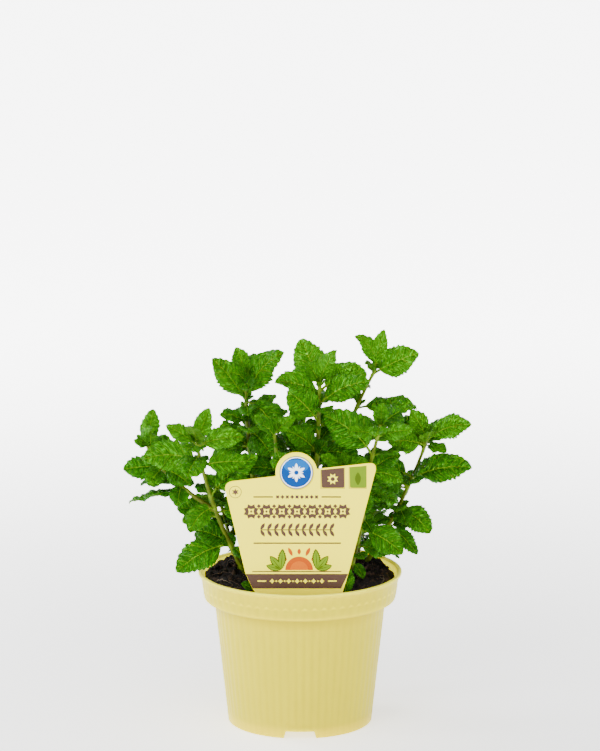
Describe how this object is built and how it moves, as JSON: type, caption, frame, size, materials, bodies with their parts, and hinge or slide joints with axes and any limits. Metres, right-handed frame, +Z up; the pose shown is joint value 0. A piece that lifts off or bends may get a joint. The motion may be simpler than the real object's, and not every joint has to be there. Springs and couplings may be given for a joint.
{
  "type": "potted mint plant",
  "caption": "Bushy mint plant with toothed leaves in crossed pairs, in a round soil-filled nursery pot with a banded rim and a flat stick-in label.",
  "frame": {"origin": "centre of the pot's foot ring on the floor", "axes": "+Z up along the pot's axis, -Y towards the viewer of the label, +X to the viewer's right"},
  "size_m": [0.2034, 0.1437, 0.2338],
  "materials": {
    "pot": "satin pale yellow polypropylene",
    "soil": "rough dark peat compost",
    "label": "satin printed polystyrene",
    "leaf": "soft, slightly hairy fresh green"
  },
  "bodies": {
    "root": {"pot": "pot", "soil": "soil", "label": "label", "stem_tall_left": "leaf", "stem_tall_centre": "leaf", "stem_tall_right": "leaf", "stem_far_right": "leaf", "stem_inner_right": "leaf", "stem_left": "leaf", "stem_inner_left": "leaf", "stem_behind_label": "leaf", "stem_low_right": "leaf", "stem_rear_1": "leaf", "stem_rear_2": "leaf", "stem_rear_3": "leaf", "stem_rear_4": "leaf", "stem_rear_5": "leaf", "stem_rear_6": "leaf", "stem_rear_7": "leaf"}
  },
  "joints": []
}
